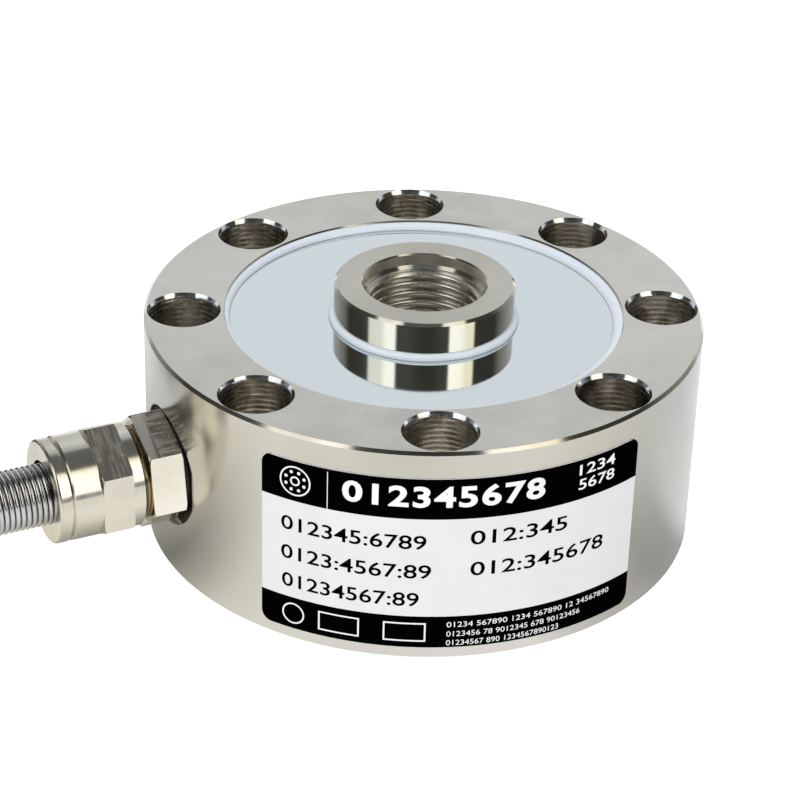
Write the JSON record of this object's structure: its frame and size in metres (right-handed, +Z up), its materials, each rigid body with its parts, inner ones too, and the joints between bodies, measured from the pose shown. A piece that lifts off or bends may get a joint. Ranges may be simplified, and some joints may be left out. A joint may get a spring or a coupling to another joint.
{
  "type": "spoke type load cell",
  "caption": "Low round steel force sensor with a threaded centre hub on spokes, a bolted rim, sealed mirror covers and a cable leaving sideways through a metal gland.",
  "frame": {"origin": "centre of the rim's base, on the central thread's axis", "axes": "+Z up along the central thread, the cable gland points along -X"},
  "size_m": [0.2217, 0.1946, 0.0487],
  "materials": {
    "nickel_steel": "nickel plated, satin with a soft gloss",
    "mirror_cover": "mirror polished stainless sheet",
    "white_silicone": "white silicone sealant",
    "gauge_film": "amber polyimide film with foil grid",
    "enamelled_wire": "thin insulated wire",
    "circuit_board": "green solder mask",
    "adhesive_pad": "foam adhesive",
    "resistor_ceramic": "chip resistor",
    "label_film": "white and black printed film",
    "nickel_brass": "nickel plated brass, turned and milled",
    "bare_brass": "bare brass",
    "black_rubber": "black rubber",
    "spring_wire": "bright close-wound wire",
    "cable_sheath": "black PVC sheath",
    "tie_nylon": "natural nylon",
    "shrink_tube": "heat-shrink tube",
    "lead_red": "red PVC",
    "lead_black": "black PVC",
    "lead_green": "green PVC",
    "lead_white": "white PVC",
    "lead_yellow": "yellow PVC over the screen wire",
    "tinned_copper": "tinned strands"
  },
  "bodies": {
    "root": {"sensor_body": "nickel_steel", "top_cover": "mirror_cover", "bottom_cover": "mirror_cover", "top_outer_seal": "white_silicone", "top_inner_seal": "white_silicone", "bottom_outer_seal": "white_silicone", "bottom_inner_seal": "white_silicone", "strain_gauges": "gauge_film", "gauge_wires": "enamelled_wire", "terminal_board": "circuit_board", "board_pads": "adhesive_pad", "trim_resistors": "resistor_ceramic", "rating_label": "label_film", "gland_body": "nickel_brass", "gland_gasket": "black_rubber", "gland_ring": "bare_brass", "gland_nut": "nickel_brass", "thrust_ring": "nickel_brass", "gland_grommet": "black_rubber", "sleeve_cap": "nickel_brass", "spring_sleeve": "spring_wire", "cable_inner_end": "cable_sheath", "inner_leads": "enamelled_wire", "cable": "cable_sheath", "cable_coil": "cable_sheath", "cable_ties": "tie_nylon", "heat_shrink": "shrink_tube", "lead_red": "lead_red", "lead_black": "lead_black", "lead_green": "lead_green", "lead_white": "lead_white", "lead_shield": "lead_yellow", "lead_tips": "tinned_copper"}
  },
  "joints": []
}
